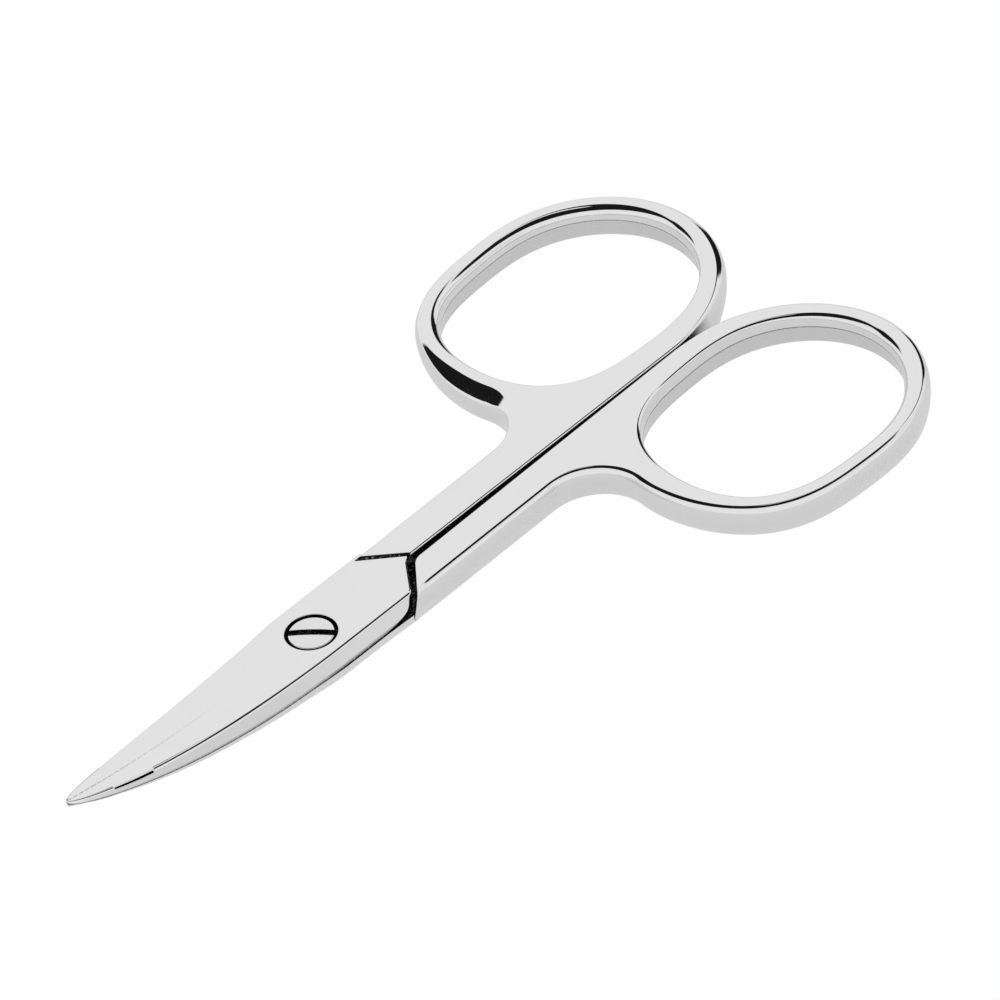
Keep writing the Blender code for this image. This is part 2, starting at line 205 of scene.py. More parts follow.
# Blade
BLADE_HALF_WIDTH = 4.35 * MM
TIP_HALF_WIDTH = 0.15 * MM
LOWER_EDGE_SETBACK = 0.35 * MM
SETBACK_RUN_IN = 12 * MM
SETBACK_LIMIT_SHARE = 0.33
TAPER_START_POWER = 1.5
TAPER_TIP_POWER = 0.6
RUNNING_GAP = 0.14 * MM
CONTACT_FLAT_RADIUS = 5.5 * MM
CONTACT_BEND_RADIUS = 88 * MM
BACK_FLAT_RADIUS = 7.0 * MM
BACK_BEND_RADIUS = 118 * MM
TIP_THICKNESS = 0.3 * MM
SPINE_SLANT = math.radians(32)
CUTTING_SLANT = math.radians(20)
BEVEL_SLANT = math.radians(38)
BEVEL_HEIGHT = 0.35 * MM
BEVEL_LIMIT_SHARE = 0.5
BEVEL_START = -1.6 * MM
BEVEL_RUN_IN = 3 * MM
BLADE_EDGE_RADIUS = 0.35 * MM
EDGE_LIMIT_SHARE = 0.4
# Share of the spine's lower rows over which its painted shade fades out
FOOT_SHADE_SHARE = 0.8

# Screw
HEAD_RADIUS = 2.06 * MM
HEAD_HEIGHT = 0.6 * MM
HEAD_DOME = 0.12 * MM
HEAD_EDGE_RADIUS = 0.1 * MM
HEAD_CENTRE_SHARE = 0.8
HEAD_RISE = -0.09 * MM
SEAT_CLEARANCE = 0.3 * MM
SEAT_DEPTH = 0.8 * MM
SEAT_EDGE_RADIUS = 0.06 * MM
NECK_RADIUS_OF_SCREW = 1.3 * MM
NECK_CLEARANCE = 0.25 * MM
SLOT_WIDTH = 0.7 * MM
SLOT_DEPTH = 0.35 * MM
SLOT_EDGE_RADIUS = HEAD_EDGE_RADIUS / 3
CAP_OVERLAP = MM / 20
SLOT_ANGLE = math.radians(-53)
TAIL_CHAMFER = 0.1 * MM

# How finely the grids are cut and their places worked out
RING_COLUMNS = 420
RING_BLEND_COLUMNS = 60
# Columns over which the painted shade in the gap fades in
GAP_FADE_FROM = 35
GAP_FADE_TO = 12
SIDE_COLUMNS = 48
LINE_COLUMNS = 24
CORNER_COLUMNS = 14
NECK_COLUMNS = 40
SPINE_COLUMNS = 150
TIP_COLUMNS = 4
ROW_SPACING_POWER = 1.6
EDGE_ROWS = 12
FACE_ROWS = 40
FACET_ROWS = 9
FACET_START = 0.5
CAP_ROWS = 12
TURNED_COLUMNS = 160
UPPER_ROW_SHARES = (0.0, 0.1, 0.2, 0.4, 0.6, 0.8, 0.85, 1.0)
LOWER_ROW_SHARES = (0.0, 0.05, 0.1, 0.2, 0.33, 0.45, 0.6, 0.75, 0.9, 1.0)
SETTLING_ROUNDS = 12
SEARCH_PLACES = 4001
SLOPE_STEP = MM / 100

HEEL_COLUMN = RING_COLUMNS + SIDE_COLUMNS
FRONT_COLUMN = HEEL_COLUMN + CORNER_COLUMNS
EDGE_COLUMN = FRONT_COLUMN + LINE_COLUMNS + CORNER_COLUMNS
NECK_COLUMN = EDGE_COLUMN + SIDE_COLUMNS
COLUMN_COUNT = NECK_COLUMN + NECK_COLUMNS
CUT_START = LINE_COLUMNS + CORNER_COLUMNS + SPINE_COLUMNS + TIP_COLUMNS
MIDDLE = STOCK / 2
PLATE_TOP = STOCK - PLATE_STEP
SEAT_RADIUS = HEAD_RADIUS + SEAT_CLEARANCE
BORE_RADIUS = NECK_RADIUS_OF_SCREW + NECK_CLEARANCE
BLADE_LENGTH = -cad_low.x
UP = np.array([0.0, 0.0, 1.0])


# Curves in plan

def unit(vectors):
    return vectors / np.linalg.norm(vectors, axis=-1, keepdims=True)


def polar(angle):
    """(cos a, sin a) for each angle."""
    return np.stack([np.cos(angle), np.sin(angle)], axis=-1)


def span(start, end, count):
    """count places from start towards end, leaving out the end itself."""
    return start + (end - start) * np.arange(count) / count


def line(start, end, count):
    return start + (end - start) * (np.arange(count) / count)[:, None]


def hole_radius(angle):
    """r(a) = mean + oval cos 2a + egg cos 3a - square cos 4a + nose cos 5a."""
    return (
        HOLE_MEAN_RADIUS
        + HOLE_OVAL * np.cos(2 * angle)
        + HOLE_EGG * np.cos(3 * angle)
        - HOLE_SQUARE * np.cos(4 * angle)
        + HOLE_NOSE * np.cos(5 * angle)
    )


def hole_slope(angle):
    """dr/da of hole_radius."""
    return (
        -2 * HOLE_OVAL * np.sin(2 * angle)
        - 3 * HOLE_EGG * np.sin(3 * angle)
        + 4 * HOLE_SQUARE * np.sin(4 * angle)
        - 5 * HOLE_NOSE * np.sin(5 * angle)
    )


def ring_normal(angle):
    """Outward normal of the hole's wall: r times the radial direction less dr/da times the round one."""
    out = polar(angle)
    turned = np.stack([-out[..., 1], out[..., 0]], axis=-1)
    return unit(hole_radius(angle)[..., None] * out - hole_slope(angle)[..., None] * turned)


def ring_place(angle, offset):
    """Plan point at this distance outside the hole's wall, about the ring's centre."""
    offset = np.broadcast_to(offset, angle.shape)[..., None]
    return hole_radius(angle)[..., None] * polar(angle) + offset * ring_normal(angle)


def ring_width(angle, inner_widening=0.0):
    """Thinner away from the other ring, and changed by inner_widening where the rings meet."""
    facing = np.clip(-np.sin(angle), 0, 1) ** INNER_WIDENING_POWER
    return RING_WIDTH - RING_OUTER_THINNING * (1 + np.sin(angle)) / 2 + inner_widening * facing


def ring_centre(node):
    """The centre that makes the ring end where this CAD node's box does."""
    low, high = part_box(node)
    angle = span(0, math.tau, RING_COLUMNS)
    reach = ring_place(angle, ring_width(angle)).max(axis=0)
    return np.array([high.x, max(high.y, -low.y)]) - reach


def crossing(function, low, high):
    """The place between low and high where function passes through zero."""
    places = np.linspace(low, high, SEARCH_PLACES)
    values = function(places)
    first = np.flatnonzero(values[:-1] * values[1:] <= 0)[0]
    share = values[first] / (values[first] - values[first + 1])
    return places[first] + share * (places[first + 1] - places[first])


def corner(before, tip, after, count):
    """A quadratic curve from before to after that leaves and arrives along the lines to the tip."""
    t = (np.arange(count) / count)[:, None]
    return (1 - t) ** 2 * before + 2 * t * (1 - t) * tip + t**2 * after


def plan_normals(points):
    """Outward normals of closed clockwise outlines, from the points on either side of each."""
    along = unit(np.roll(points, -1, axis=-2) - np.roll(points, 1, axis=-2))
    return np.stack([-along[..., 1], along[..., 0]], axis=-1)


# Meshes

def numeric_normals(points):
    """Normals of one patch from its own differences: along the columns crossed with along the rows."""
    along = np.roll(points, -1, axis=1) - np.roll(points, 1, axis=1)
    down = np.gradient(points, axis=0, edge_order=2 if len(points) > 2 else 1)
    return unit(np.cross(along, down))


def patch(points, normals=None, ground_shade=0.0):
    """Points of a grid with their traits: the normal, and how far the steel there is rough and painted near
    black as shade.
    """
    if normals is None:
        normals = numeric_normals(points)
    normals = np.broadcast_to(normals, points.shape)
    ground_shade = np.broadcast_to(ground_shade, points.shape[:-1])
    return points, np.concatenate([normals, ground_shade[..., None]], axis=-1)


def rounded(start, tip, end, first, last):
    """A rounded edge from start to end round the crease at tip, turning from one normal to the other."""
    t = np.linspace(0, 1, EDGE_ROWS)[:, None, None]
    points = (1 - t) ** 2 * start + 2 * t * (1 - t) * tip + t**2 * end
    return patch(points, unit((1 - t) * first + t * last))


def shell(patches, side, capped, flats=(), first_column=0):
    """Vertices, faces and corner traits of patches that share their end rows.

    A capped shell starts and ends in a point, and any other closes on itself. side is -1 where
    the form is mirrored in y. Each strip named in flats is one level face from first_column on.
    """
    rows = np.concatenate([points[:-1] for points, _ in patches])
    columns = rows.shape[1]
    row_count = len(rows)
    if capped:
        poles = patches[0][0][0, :1], patches[-1][0][-1, :1]
        verts = np.concatenate([poles[0], rows[1:].reshape(-1, 3), poles[1]])
        index = np.arange(1, len(verts) - 1).reshape(-1, columns)
        ends = [np.full((1, columns), place) for place in (0, len(verts) - 1)]
        index = np.concatenate([ends[0], index, ends[1]])
    else:
        verts = rows.reshape(-1, 3)
        index = np.arange(len(verts)).reshape(-1, columns)
        index = index[np.arange(row_count + 1) % row_count]
    ahead = np.roll(index, -1, axis=1)
    quads = np.stack([index[:-1], ahead[:-1], ahead[1:], index[1:]], axis=-1)
    upper = np.concatenate([traits[:-1] for _, traits in patches])
    lower = np.concatenate([traits[1:] for _, traits in patches])
    corners = np.stack([upper, np.roll(upper, -1, axis=1), np.roll(lower, -1, axis=1), lower], axis=-2)
    cells = np.ones(quads.shape[:2], bool)
    starts = np.cumsum([0] + [len(points) - 1 for points, _ in patches])
    levels = []
    for flat in flats:
        row = starts[flat]
        cells[row, first_column:] = False
        above, below = (np.append(index[place, first_column:], index[place, 0]) for place in (row, row + 1))
        face = np.concatenate([above, below[::-1]])[None]
        levels.append((face, np.broadcast_to(corners[row, 0, 0], face.shape + (4,))))
    groups = [(quads[cells], corners[cells])] + levels
    if capped:
        start = (quads[0][:, [0, 2, 3]], corners[0][:, [0, 2, 3]])
        end = (quads[-1][:, [0, 1, 2]], corners[-1][:, [0, 1, 2]])
        groups = [(quads[1:-1].reshape(-1, 4), corners[1:-1].reshape(-1, 4, 4)), start, end]
    if side < 0:
        groups = [(faces[:, ::-1], traits[:, ::-1]) for faces, traits in groups]
    return mirrored(verts, groups, side)


def mirrored(verts, groups, side):
    mirror = np.array([1.0, side, 1.0, 1.0])
    return verts * mirror[:3], [(faces, traits * mirror) for faces, traits in groups]


def add_piece(name, shells, body, node, material):
    """One mesh object of these shells that rides on a CAD body and stands for its node."""
    verts, faces, traits = [], [], []
    first = 0
    for shell_verts, groups in shells:
        for group_faces, group_traits in groups:
            faces += (group_faces + first).tolist()
            traits.append(group_traits.reshape(-1, 4))
        verts.append(shell_verts)
        first += len(shell_verts)
    traits = np.concatenate(traits)
    mesh = bpy.data.meshes.new(name)
    mesh.from_pydata(np.concatenate(verts).tolist(), [], faces)
    mesh.shade_smooth()
    mesh.normals_split_custom_set(traits[:, :3].tolist())
    # Share of rough steel whose colour is painted near black as shade, for each corner
    ground_shade = mesh.attributes.new("ground_shade", "FLOAT", "CORNER")
    ground_shade.data.foreach_set("value", np.ascontiguousarray(traits[:, 3], dtype=np.float32))
    mesh.materials.append(material)
    piece = bpy.data.objects.new(name, mesh)
    bpy.context.scene.collection.objects.link(piece)
    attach(piece, body)
    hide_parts(node)
    return piece


def at_height(plan, height):
    """Plan points with their heights."""
    height = np.broadcast_to(height, plan.shape[:-1])
    return np.concatenate([plan, height[..., None]], axis=-1)


# Handles

def fade(run):
    """cos^2 of that share of a quarter turn: 1 at 0, and 0 from 1 on."""
    return np.cos(math.pi / 2 * np.clip(run, 0, 1)) ** 2


def cheek(angle, fullness=1.0):
    """A swelling that is fullest beside the neck and fades both ways: fade(u^fullness)."""
    past = angle - CHEEK_ANGLE
    run = np.where(past > 0, past / CHEEK_RUN_IN, -past / CHEEK_RUN_OUT)
    return fade(run**fullness)


def outer_ring(centre, half, angle):
    width = ring_width(angle, half["inner_widening"]) + CHEEK_BULK * cheek(angle)
    return centre + ring_place(angle, width)


def ring_joins(centre, half):
    """Hole angles where the neck's arc and the shank's inner line touch the ring's outer wall."""
    heel = np.array([STEP_TOP["apex"], half["heel_y"]])

    def neck_miss(angle):
        middle = outer_ring(centre, half, angle) + NECK_RADIUS * ring_normal(angle)
        return middle[..., 1] - NECK_RADIUS - half["width_at_neck"]

    def inner_miss(angle):
        return ((outer_ring(centre, half, angle) - heel) * ring_normal(angle)).sum(axis=-1)

    return crossing(neck_miss, *NECK_SEARCH), crossing(inner_miss, *INNER_SEARCH) - math.tau


def handle_outline(centre, half, front, joins, inset):
    """Closed plan outline for one of the front's lines, this far inside the ridge's.

    It has the ring's wall, the inner line, the heel, the front line, the front corner, the outer
    side and the neck's arc, each with its own count of columns. The lines are moved in one by one
    and meet in true corners.
    """
    neck_angle, inner_angle = joins
    neck_normal = ring_normal(np.array(neck_angle))
    neck_middle = outer_ring(centre, half, np.array(neck_angle)) + NECK_RADIUS * neck_normal
    neck_x = neck_middle[0]
    neck_end = math.atan2(-neck_normal[1], -neck_normal[0])
    tilt = math.tan(front["lean"])
    inner, nose, side = inset[RING_COLUMNS], inset[FRONT_COLUMN], inset[EDGE_COLUMN]
    apex = front["apex"] + nose / math.cos(front["lean"])

    def shank_edge(x):
        """An even taper from the neck, and a flare in cosine form at the joint."""
        taper = (half["width_at_neck"] - half["width_at_screw"]) * x / neck_x
        run = np.clip((FLARE_START - x) / FLARE_RUN, 0, 1)
        return half["width_at_screw"] + taper + front["flare"] * (1 - np.cos(math.pi * run)) / 2 - side

    def inset_ring(angle, depth):
        return outer_ring(centre, half, angle) - np.expand_dims(depth, -1) * ring_normal(angle)

    heel_y = half["heel_y"] + inner
    heel = np.array([apex - heel_y * tilt, heel_y])
    inner_start = inset_ring(np.array(inner_angle), inner)
    front_x = crossing(lambda x: apex - shank_edge(x) * tilt - x, 0.0, apex)
    front_end = np.array([front_x, shank_edge(front_x)])
    inward = unit(inner_start - heel)
    along = unit(front_end - heel)
    heel_before = heel + front["heel_reach"] * inward
    heel_after = heel + front["heel_reach"] * along
    front_before = front_end - front["corner_reach"] * along
    edge_x = front_x + front["corner_reach"]
    edge_share = (np.arange(SIDE_COLUMNS) / SIDE_COLUMNS) ** ROW_SPACING_POWER
    edge_places = edge_x + (neck_x - edge_x) * edge_share
    arc_radius = NECK_RADIUS + inset[NECK_COLUMN:, None]
    stretches = [
        inset_ring(span(neck_angle, inner_angle, RING_COLUMNS), inset[:RING_COLUMNS]),
        line(inner_start, heel_before, SIDE_COLUMNS),
        corner(heel_before, heel, heel_after, CORNER_COLUMNS),
        line(heel_after, front_before, LINE_COLUMNS),
        corner(front_before, front_end, np.array([edge_x, shank_edge(edge_x)]), CORNER_COLUMNS),
        np.stack([edge_places, shank_edge(edge_places)], axis=-1),
        neck_middle + arc_radius * polar(span(-math.pi / 2, neck_end, NECK_COLUMNS)),
    ]
    return np.concatenate(stretches)


def profile_rows(reach, edge, power, stops, sign):
    """Inset, height and lean of a wall's two stretches between its ridge and one face.

    From the ridge the wall leans in by bulge t^power, with t the share of the way. Then an arc
    turns it into the face. The arc is in two halves, and a nearly flat facet lies between them.
    """
    radius, bulge, facet = edge
    drop = facet * math.cos(FACET_LEAN)
    slant = np.zeros_like(radius)
    for _ in range(SETTLING_ROUNDS):
        rise = reach - drop - radius * (1 - np.sin(slant))
        slant = np.arctan(power * bulge / rise)
    share = np.linspace(0, 1, EDGE_ROWS // 2)[:, None]
    facet_start = np.maximum(slant, FACET_LEAN - FACET_SPREAD / 2)
    facet_end = FACET_LEAN + FACET_SPREAD / 2
    below = slant + (facet_start - slant) * share
    above = facet_end + (math.pi / 2 - facet_end) * share
    lean = np.concatenate([below, np.broadcast_to(above, below.shape)])
    past = (np.arange(len(lean)) >= len(share))[:, None]
    inset = bulge + radius * (np.cos(slant) - np.cos(lean)) + facet * math.sin(FACET_LEAN) * past
    height = reach - radius * (1 - np.sin(lean)) - drop * (1 - past)
    arc = inset, RIDGE_HEIGHT + sign * height, sign * lean
    t = np.array(stops)[:, None]
    lean = np.arctan(power * bulge * t ** (power - 1) / rise)
    return (bulge * t**power, RIDGE_HEIGHT + sign * rise * t, sign * lean), arc


def wall(place, upper_edge, lower_edge, power, ground_shade):
    """Patches of a wall from the top face down to the bottom one: rounding, two stretches, rounding.

    place(inset, height, lean) gives points and normals for arrays of rows by columns. An edge is
    its radius, the wall's bulge towards it and its facet, each with a value for every column.
    The last argument, the share of rough steel painted near black as shade, has a value for each patch.
    """
    upper, top_arc = profile_rows(STOCK - RIDGE_HEIGHT, upper_edge, power, UPPER_ROW_SHARES, 1)
    lower, bottom_arc = profile_rows(RIDGE_HEIGHT, lower_edge, power, LOWER_ROW_SHARES, -1)
    rows = [
        [values[::-1] for values in top_arc],
        [values[::-1] for values in upper],
        lower,
        bottom_arc,
    ]
    return [patch(*place(*values), depth) for values, depth in zip(rows, ground_shade)]


def column_sizes(ring, inner, front, *side):
    """A size for each column: the ring's, the inner line's, the front's and then the side's knots.

    A knot is a column and the size there, and the sizes run straight from knot to knot.
    """
    knots = (
        (0, ring),
        (RING_COLUMNS - RING_BLEND_COLUMNS, ring),
        (RING_COLUMNS, inner),
        (HEEL_COLUMN, inner),
        (FRONT_COLUMN, front),
        (EDGE_COLUMN - CORNER_COLUMNS, front),
        *side,
        (COLUMN_COUNT, ring),
    )
    return np.interp(np.arange(COLUMN_COUNT), *zip(*knots))


def outer_edges(half, outer_angles):
    """The outer wall's upper and lower edges: their radius, bulge and facet in every column."""
    side = (EDGE_COLUMN, SHANK_EDGE_RADIUS), (NECK_COLUMN, SHANK_EDGE_RADIUS)
    radius = column_sizes(RING_EDGE_RADIUS, INNER_EDGE_RADIUS, FRONT_EDGE_RADIUS, *side)
    bulge = column_sizes(WALL_BULGE, INNER_BULGE, 0.0, (EDGE_COLUMN, WALL_BULGE))
    facet = column_sizes(RING_FACET, INNER_FACET, 0.0, (EDGE_COLUMN, SHANK_FACET))
    toe = TOE_FACET * fade(np.abs(outer_angles - TOE_ANGLE) / TOE_RUN)
    swelling = half["cheek_facet"] * cheek(outer_angles, CHEEK_FACET_FULLNESS)
    broad = np.zeros(COLUMN_COUNT)
    broad[:RING_COLUMNS] = swelling + toe
    broad[NECK_COLUMN:] = swelling[0] * fade(span(1.0, 0.0, NECK_COLUMNS) / CHEEK_NECK_SHARE)
    return (radius, bulge - FACET_BULGE_CUT * broad, facet + broad), (radius, bulge, facet)


def hole_edges(angles):
    """The hole's upper and lower edges in the same form. The upper one is fullest at the nose."""
    nose = np.clip(np.cos(angles - HOLE_TOP_NOSE_ANGLE), 0, 1) ** HOLE_TOP_NOSE_POWER
    radius = HOLE_TOP_RADIUS + HOLE_TOP_SIDE * np.sin(angles) + HOLE_TOP_NOSE * nose
    none = np.zeros(COLUMN_COUNT)
    lower = none + HOLE_BOTTOM_RADIUS, none + HOLE_LOWER_BULGE, none
    return (radius, none + HOLE_UPPER_BULGE, none + HOLE_FACET), lower


def gap_shade():
    """How far each column's wall is rough and painted near black as shade in the gap: all of the inner line
    and of the front.
    """
    front_end = EDGE_COLUMN - CORNER_COLUMNS // 2
    knots = (
        (RING_COLUMNS - GAP_FADE_FROM, 0),
        (RING_COLUMNS - GAP_FADE_TO, 1),
        (front_end, 1),
        (front_end + 1, 0),
    )
    return np.interp(np.arange(COLUMN_COUNT), *zip(*knots))


def handle(side, node):
    """Ring and shank of one half, in the upper half's place; side -1 mirrors it in y."""
    centre = ring_centre(node)
    half = UPPER_SHANK if side > 0 else LOWER_SHANK
    joins = ring_joins(centre, half)
    heights = np.array([front["height"] if side > 0 else STOCK - front["height"] for front in FRONTS])
    order = np.argsort(heights)
    outer_angles = span(joins[0], joins[1], RING_COLUMNS)
    inner_angles = span(joins[1], joins[0] - math.tau, COLUMN_COUNT - RING_COLUMNS)
    angles = np.concatenate([outer_angles, inner_angles])

    def level(inset, height):
        """One row: the outlines of the fronts, mixed at each column's height."""
        outlines = [handle_outline(centre, half, front, joins, inset) for front in FRONTS]
        shares = [np.interp(height, heights[order], row) for row in np.eye(len(FRONTS))]
        mixed = sum(share[:, None] * outlines[place] for share, place in zip(shares, order))
        return at_height(mixed, height)

    def outside(inset, height, lean):
        inset, height, lean = np.broadcast_arrays(inset, height, lean)
        points = np.array([level(*row) for row in zip(inset, height)])
        steps = zip(inset + SLOPE_STEP * np.sin(lean), height + SLOPE_STEP * np.cos(lean))
        ahead = np.array([level(*row) for row in steps])
        along = np.roll(points, -1, axis=1) - np.roll(points, 1, axis=1)
        return points, unit(np.cross(along, points - ahead))

    def hole(inset, height, lean):
        inset, height, lean, around = np.broadcast_arrays(inset, height, lean, angles)
        normals = at_height(-ring_normal(around) * np.cos(lean)[..., None], np.sin(lean))
        return at_height(centre + ring_place(around, inset), height), normals

    # The walls in the gap between the halves and at the shank's front are painted near black as shade
    ground_shade = gap_shade()
    outer_wall = wall(outside, *outer_edges(half, outer_angles), OUTER_WALL_POWER, (0, ground_shade, ground_shade, 0))
    # Painted shade in the hole: a dark line along the ridge and a darker tone on the wall below it
    upper_shade = np.where(np.array(UPPER_ROW_SHARES)[::-1, None] == 0, SEAM_SHADE_DEPTH, 0)
    lower_shade = np.where(np.array(LOWER_ROW_SHARES)[:, None] == 0, SEAM_SHADE_DEPTH, HOLE_SHADE_DEPTH)
    hole_shade = (0, upper_shade, lower_shade, HOLE_SHADE_DEPTH)
    hole_wall = wall(hole, *hole_edges(angles), HOLE_WALL_POWER, hole_shade)
    hole_up = [(points[::-1], traits[::-1]) for points, traits in reversed(hole_wall)]
    top = patch(np.stack([hole_up[-1][0][-1], outer_wall[0][0][0]]), UP)
    bottom = patch(np.stack([outer_wall[-1][0][-1], hole_up[0][0][0]]), -UP)
    patches = [top] + outer_wall + [bottom] + hole_up
    return shell(patches, side, False, (0, 1 + len(outer_wall)), RING_COLUMNS)


# Blades

def rise(x, y, flat_radius, bend_radius):
    """(distance from the screw's axis - flat)^2 / (2 bend) in front of the screw, none behind it."""
    past = np.maximum(0, np.hypot(x, y) - flat_radius)
    return np.where(x > 0, 0.0, past**2 / (2 * bend_radius))


def contact_height(x, y):
    return MIDDLE + rise(x, y, CONTACT_FLAT_RADIUS, CONTACT_BEND_RADIUS)


def thickness_at(x, y):
    """From the contact surface to the half's outer face."""
    back = PLATE_TOP + rise(x, y, BACK_FLAT_RADIUS, BACK_BEND_RADIUS)
    return np.maximum(TIP_THICKNESS, back - contact_height(x, y))


def face_height(plan, side, share):
    """Height of a surface between the contact face, share 0, and the outer face, share 1."""
    x, y = plan[..., 0], plan[..., 1]
    depth = RUNNING_GAP / 2 + (thickness_at(x, y) - RUNNING_GAP / 2) * share
    return contact_height(x, y) + side * depth


def on_face(plan, side, share):
    return at_height(plan, face_height(plan, side, share))


def face_normals(plan, side, share):
    """Outward normals of that surface from its slopes in x and y."""
    slopes = []
    for step in ((SLOPE_STEP, 0.0), (0.0, SLOPE_STEP)):
        ahead = face_height(plan + step, side, share)
        behind = face_height(plan - step, side, share)
        slopes.append((ahead - behind) / (2 * SLOPE_STEP))
    return unit(np.stack([-slopes[0], -slopes[1], np.ones_like(slopes[0])], axis=-1))


def blade_half_width(x):
    """tip + (half - tip) (1 - u^p)^q, with u the share of the way to the tip."""
    share = np.clip(-x / BLADE_LENGTH, 0, 1)
    leaf = (1 - share**TAPER_START_POWER) ** TAPER_TIP_POWER
    return TIP_HALF_WIDTH + (BLADE_HALF_WIDTH - TIP_HALF_WIDTH) * leaf


def blade_edges(x, side):
    """y of the spine's foot and top, and of the cutting side's top, bevel and edge, at each x.

    The last value is the bevel's share of the height. The lower blade's root is tucked in, so that
    it stays inside its shank.
    """
    half = blade_half_width(x)
    setback = np.zeros_like(x)
    if side < 0:
        run_in = np.clip(-x / SETBACK_RUN_IN, 0, 1)
        setback = np.minimum(LOWER_EDGE_SETBACK * run_in, half * SETBACK_LIMIT_SHARE)
        run = np.clip((x - PLATE_ROOT_WIDENING_START) / PLATE_ROOT_WIDENING_RUN, 0, 1)
        tuck = np.clip((x - ROOT_TUCK_START) / PLATE_ROOT, 0, 1)
        setback = setback - PLATE_ROOT_WIDENING * run**2 + ROOT_TUCK * tuck
    thickness = thickness_at(x, 0 * x)
    bevel_height = np.minimum(BEVEL_HEIGHT, thickness * BEVEL_LIMIT_SHARE)
    bevel_share = np.clip((BEVEL_START - x) / BEVEL_RUN_IN, 0, 1)
    lean = math.tan(CUTTING_SLANT) * (1 - bevel_share) + math.tan(BEVEL_SLANT) * bevel_share
    edge = half - setback
    bevel = edge - bevel_height * lean
    top = bevel - (thickness - bevel_height) * math.tan(CUTTING_SLANT)
    spine = -half + thickness * math.tan(SPINE_SLANT)
    middle = (top + spine) / 2
    top = np.maximum(top, middle + TIP_HALF_WIDTH / 2)
    spine = np.minimum(spine, middle - TIP_HALF_WIDTH / 2)
    return -half, spine, top, bevel, edge, bevel_height / thickness


def blade_outline(side, depth, cut_depth):
    """Closed plan outline at a depth under the outer face, from 0 there to 1 at the contact face.

    It has the plate's rear, its corner, the spine, the tip, the cutting side and the root inside
    the shank. The cutting side has a depth for each column.
    """
    near_tip = 1 - (1 - np.linspace(0, 1, SPINE_COLUMNS + 1)) ** ROW_SPACING_POWER
    apex = np.array([PLATE_APEX - PLATE_REAR_SLOPE * depth, 0.0])
    sweep = PLATE_CORNER_SLOPE * depth + PLATE_CORNER_SWEEP * depth**PLATE_CORNER_POWER
    corner_x = PLATE_CORNER_X - sweep

    def spine_line(start):
        x = start + (-BLADE_LENGTH - start) * near_tip
        foot, spine, *_ = blade_edges(x, side)
        return np.stack([x, spine + (foot - spine) * depth], axis=-1)

    tip = spine_line(corner_x)[0]
    before = tip - PLATE_CORNER_REACH * unit(tip - apex)
    spine = spine_line(corner_x - PLATE_CORNER_REACH)
    x = cut_places()
    _, _, top, bevel, edge, bevel_share = blade_edges(x, side)
    upper = np.clip(cut_depth / (1 - bevel_share), 0, 1)
    lower = np.clip((cut_depth - 1) / bevel_share + 1, 0, 1)
    cut = np.stack([x, top + (bevel - top) * upper + (edge - bevel) * lower], axis=-1)
    root = apex + PLATE_ROOT / 2
    stretches = [
        line(apex, before, LINE_COLUMNS),
        corner(before, tip, spine[0], CORNER_COLUMNS),
        spine[:-1],
        line(spine[-1], cut[0], TIP_COLUMNS),
        cut[:-1],
        line(cut[-1], root, LINE_COLUMNS),
        line(root, apex, TIP_COLUMNS),
    ]
    return np.concatenate(stretches)


def cut_places():
    """x of the cutting side's columns, from the tip to the root."""
    near_tip = 1 - (1 - np.linspace(1, 0, SPINE_COLUMNS + 1)) ** ROW_SPACING_POWER
    root_x = STEP_TOP["apex"] - BLADE_HALF_WIDTH * math.tan(STEP_TOP["lean"]) + PLATE_ROOT
    return root_x + (-BLADE_LENGTH - root_x) * near_tip


def blade_level(side, depth, cut_depth):
    """The outline at that depth, with its heights."""
    plan = blade_outline(side, depth, cut_depth)
    depths = np.full(len(plan), float(depth))
    depths[CUT_START : CUT_START + SPINE_COLUMNS] = cut_depth[:-1]
    return on_face(plan, side, 1 - depths)


def blade_sides(side, edge_radius):
    """The crease under the outer face, the slanted sides below its rounding, and their bevel.

    The facet's first row is where the rounding ends, and the others start beyond it. The plate's
    rear and its root are rough and painted near black as shade, and so is the spine towards its foot.
    """
    *_, bevel_share = blade_edges(cut_places(), side)
    plate_share = BEVEL_HEIGHT / (PLATE_TOP - MIDDLE)
    steps = np.linspace(1, 0, FACET_ROWS)
    past_edge = np.append(0, np.linspace(FACET_START, 1, FACET_ROWS - 1))
    facet = [blade_level(side, (1 - plate_share) * s, (1 - bevel_share) * s) for s in past_edge]
    bevel = [blade_level(side, 1 - plate_share * s, 1 - bevel_share * s) for s in steps]
    crease = facet[0]
    facet[0] = crease + unit(facet[1] - crease) * edge_radius[:, None]
    facet, bevel = np.array(facet), np.array(bevel)
    columns = np.arange(len(crease))
    # Painted shade: the plate's rear, its root and the spine's foot are painted near black
    ground_and_shade = (columns < LINE_COLUMNS + CORNER_COLUMNS - 1) | (columns > CUT_START + SPINE_COLUMNS)
    foot = np.clip(1 - steps / FOOT_SHADE_SHARE, 0, 1)[:, None] * (columns < CUT_START)
    return (
        crease,
        patch(facet, numeric_normals(facet) * side, ground_and_shade),
        patch(bevel, numeric_normals(bevel) * side, np.maximum(ground_and_shade, foot)),
    )


